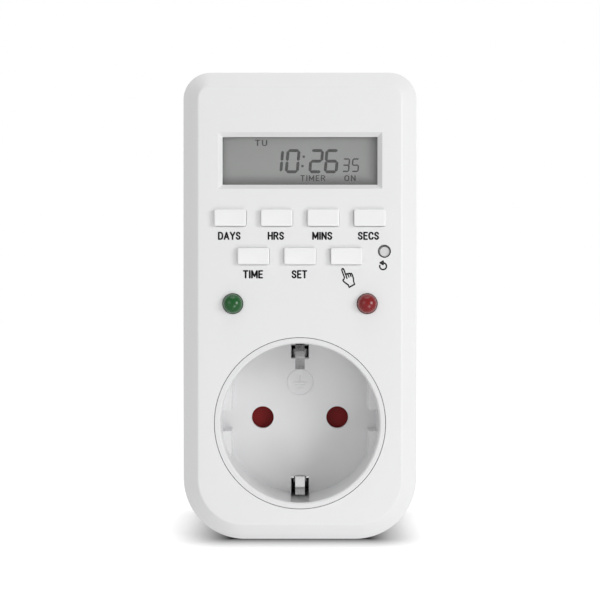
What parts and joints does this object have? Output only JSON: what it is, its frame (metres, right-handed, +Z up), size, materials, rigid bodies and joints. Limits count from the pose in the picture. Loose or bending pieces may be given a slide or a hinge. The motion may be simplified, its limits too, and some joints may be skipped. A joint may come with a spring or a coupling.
{
  "type": "plug-in timer switch",
  "caption": "Plug-in digital timer switch: moulded housing with display, sprung keys, reset plunger and status lamps over a recessed earthed outlet with a safety shutter; round pin plug behind.",
  "frame": {"origin": "centre of the bounding box in X and Y, at the foot of the housing", "axes": "+Z up along the housing, the front with the keys faces -Y, +X to the viewer's right, the plug points +Y"},
  "size_m": [0.057, 0.0804, 0.114],
  "materials": {
    "white_moulding": "fine satin moulding",
    "outlet_white": "smooth moulding",
    "plug_white": "smooth moulding",
    "inner_white": "plain moulding",
    "key_white": "satin moulding",
    "clear_window": "clear moulded lens",
    "display_glass": "grey reflective display glass",
    "zebra_rubber": "layered silicone",
    "shutter_red": "moulded",
    "spring_steel": "drawn wire",
    "contact_brass": "stamped",
    "nickel_strip": "nickel plated strip",
    "nickel_pin": "nickel plated, turned",
    "key_silicone": "moulded silicone",
    "reset_grey": "moulded",
    "case_black": "moulded",
    "lamp_green": "tinted clear resin",
    "lamp_red": "tinted clear resin",
    "tinned_wire": "tinned",
    "board_green": "lacquered laminate",
    "screw_steel": "zinc plated",
    "can_metal": "drawn can",
    "battery_sleeve": "shrink sleeve",
    "relay_case": "moulded",
    "film_case": "moulded",
    "can_sleeve": "shrink sleeve",
    "resistor_body": "lacquered",
    "fuse_glass": "glass tube",
    "varistor_blue": "dipped"
  },
  "bodies": {
    "housing": {"front_cover": "white_moulding", "rear_housing": "white_moulding", "socket_insert": "outlet_white", "lcd_window": "clear_window", "lcd_panel": "display_glass", "lcd_holder": "inner_white", "zebra_strips": "zebra_rubber", "shutter_spring": "spring_steel", "shutter_cover": "inner_white", "contact_block": "inner_white", "contact_left": "contact_brass", "contact_right": "contact_brass", "switched_link": "contact_brass", "live_link": "contact_brass", "neutral_link": "contact_brass", "neutral_tab": "contact_brass", "earth_yoke": "nickel_strip", "plug_earth_strip": "nickel_strip", "earth_link": "nickel_strip", "plug_body": "plug_white", "plug_pin_left": "nickel_pin", "plug_pin_right": "nickel_pin", "keypad_mat": "key_silicone", "reset_switch": "case_black", "led_green": "lamp_green", "led_red": "lamp_red", "led_leads": "tinned_wire", "control_pcb": "board_green", "control_pcb_screws": "screw_steel", "mcu": "case_black", "crystal": "can_metal", "backup_battery": "battery_sleeve", "battery_clip": "spring_steel", "board_header": "tinned_wire", "power_pcb": "board_green", "power_pcb_screws": "screw_steel", "relay": "relay_case", "film_capacitor": "film_case", "electrolytic_capacitors": "can_sleeve", "diodes": "case_black", "power_resistor": "resistor_body", "fuse": "fuse_glass", "varistor": "varistor_blue", "housing_screws": "screw_steel"},
    "button_week": {"button_week": "key_white"},
    "button_hour": {"button_hour": "key_white"},
    "button_minute": {"button_minute": "key_white"},
    "button_second": {"button_second": "key_white"},
    "button_clock": {"button_clock": "key_white"},
    "button_program": {"button_program": "key_white"},
    "button_manual": {"button_manual": "key_white"},
    "reset_button": {"reset_button": "reset_grey"},
    "shutter": {"shutter": "shutter_red"}
  },
  "joints": [
    {"name": "press_week", "type": "slide", "parent": "housing", "child": "button_week", "axis": [0, 1, 0], "range_m": [0, 0.0008], "stiffness_N_per_m": 300, "springref_m": -0.0006, "deforming": ["keypad_mat"]},
    {"name": "press_hour", "type": "slide", "parent": "housing", "child": "button_hour", "axis": [0, 1, 0], "range_m": [0, 0.0008], "stiffness_N_per_m": 300, "springref_m": -0.0006, "deforming": ["keypad_mat"]},
    {"name": "press_minute", "type": "slide", "parent": "housing", "child": "button_minute", "axis": [0, 1, 0], "range_m": [0, 0.0008], "stiffness_N_per_m": 300, "springref_m": -0.0006, "deforming": ["keypad_mat"]},
    {"name": "press_second", "type": "slide", "parent": "housing", "child": "button_second", "axis": [0, 1, 0], "range_m": [0, 0.0008], "stiffness_N_per_m": 300, "springref_m": -0.0006, "deforming": ["keypad_mat"]},
    {"name": "press_clock", "type": "slide", "parent": "housing", "child": "button_clock", "axis": [0, 1, 0], "range_m": [0, 0.0008], "stiffness_N_per_m": 300, "springref_m": -0.0006, "deforming": ["keypad_mat"]},
    {"name": "press_program", "type": "slide", "parent": "housing", "child": "button_program", "axis": [0, 1, 0], "range_m": [0, 0.0008], "stiffness_N_per_m": 300, "springref_m": -0.0006, "deforming": ["keypad_mat"]},
    {"name": "press_manual", "type": "slide", "parent": "housing", "child": "button_manual", "axis": [0, 1, 0], "range_m": [0, 0.0008], "stiffness_N_per_m": 300, "springref_m": -0.0006, "deforming": ["keypad_mat"]},
    {"name": "press_reset", "type": "slide", "parent": "housing", "child": "reset_button", "axis": [0, 1, 0], "range_m": [0, 0.0006], "stiffness_N_per_m": 300, "springref_m": -0.0006},
    {"name": "shutter_turn", "type": "hinge", "parent": "housing", "child": "shutter", "pos_m": [0, -0.01695, 0.0285], "axis": [0, 1, 0], "range_deg": [0, 40], "stiffness_Nm_per_rad": 0.0005, "springref_deg": -17.19, "deforming": ["shutter_spring"]}
  ]
}
